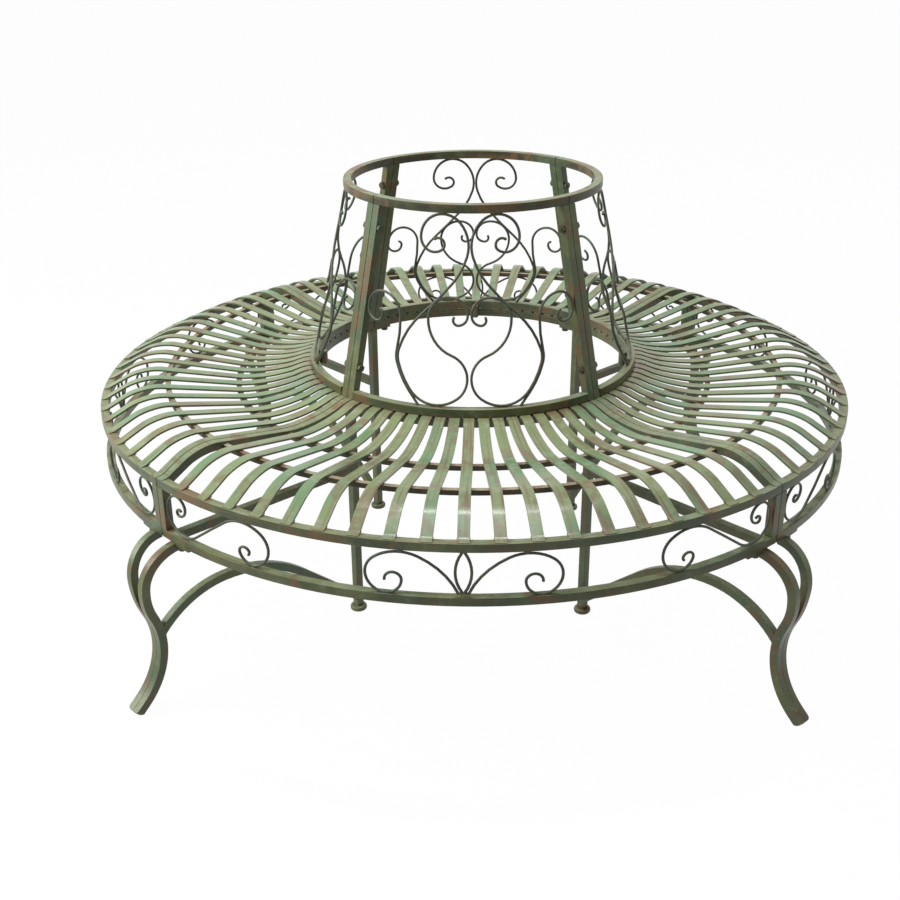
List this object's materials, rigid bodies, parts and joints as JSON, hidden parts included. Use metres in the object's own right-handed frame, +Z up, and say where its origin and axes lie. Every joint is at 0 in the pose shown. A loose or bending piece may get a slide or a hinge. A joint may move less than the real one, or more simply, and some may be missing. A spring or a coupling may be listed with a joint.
{
  "type": "tree bench",
  "caption": "Round metal bench that stands around a tree, with a slatted wave seat, a leaning back with scrolls, a scrolled apron and curved legs.",
  "frame": {"origin": "on the ground at the centre of the tree hole", "axes": "+Z up; the front section faces -Y; the seams lie at 45 degrees between the axes"},
  "size_m": [1.5, 1.5, 0.845],
  "materials": {
    "frame_paint": "distressed antique green paint with rust rub-through",
    "slat_paint": "distressed antique green paint, worn paler on top",
    "scroll_paint": "dark green-grey paint with brown wear",
    "bolt_paint": "paint over hexagon heads, browned"
  },
  "bodies": {
    "root": {"apron_centre_scrolls_back": "scroll_paint", "apron_centre_scrolls_front": "scroll_paint", "apron_centre_scrolls_left": "scroll_paint", "apron_centre_scrolls_right": "scroll_paint", "apron_corner_scrolls_back_left": "scroll_paint", "apron_corner_scrolls_back_right": "scroll_paint", "apron_corner_scrolls_front_left": "scroll_paint", "apron_corner_scrolls_front_right": "scroll_paint", "apron_posts": "frame_paint", "apron_ring_back": "frame_paint", "apron_ring_front": "frame_paint", "apron_ring_left": "frame_paint", "apron_ring_right": "frame_paint", "arch_braces": "frame_paint", "back_foot_ring_back": "frame_paint", "back_foot_ring_front": "frame_paint", "back_foot_ring_left": "frame_paint", "back_foot_ring_right": "frame_paint", "back_posts_back_left": "frame_paint", "back_posts_back_right": "frame_paint", "back_posts_front_left": "frame_paint", "back_posts_front_right": "frame_paint", "back_scrolls_back": "scroll_paint", "back_scrolls_front": "scroll_paint", "back_scrolls_left": "scroll_paint", "back_scrolls_right": "scroll_paint", "bolts": "bolt_paint", "crown_ring_back": "frame_paint", "crown_ring_front": "frame_paint", "crown_ring_left": "frame_paint", "crown_ring_right": "frame_paint", "frame_plates": "frame_paint", "inner_feet": "frame_paint", "inner_legs": "frame_paint", "outer_leg_back_left": "frame_paint", "outer_leg_back_right": "frame_paint", "outer_leg_front_left": "frame_paint", "outer_leg_front_right": "frame_paint", "radial_bars": "frame_paint", "ring_lugs": "frame_paint", "seat_end_bars_back_left": "frame_paint", "seat_end_bars_back_right": "frame_paint", "seat_end_bars_front_left": "frame_paint", "seat_end_bars_front_right": "frame_paint", "seat_rails_back": "frame_paint", "seat_rails_front": "frame_paint", "seat_rails_left": "frame_paint", "seat_rails_right": "frame_paint", "seat_rim_back": "frame_paint", "seat_rim_front": "frame_paint", "seat_rim_left": "frame_paint", "seat_rim_right": "frame_paint", "seat_ring_back": "frame_paint", "seat_ring_front": "frame_paint", "seat_ring_left": "frame_paint", "seat_ring_right": "frame_paint", "slats_back": "slat_paint", "slats_front": "slat_paint", "slats_left": "slat_paint", "slats_right": "slat_paint"}
  },
  "joints": []
}
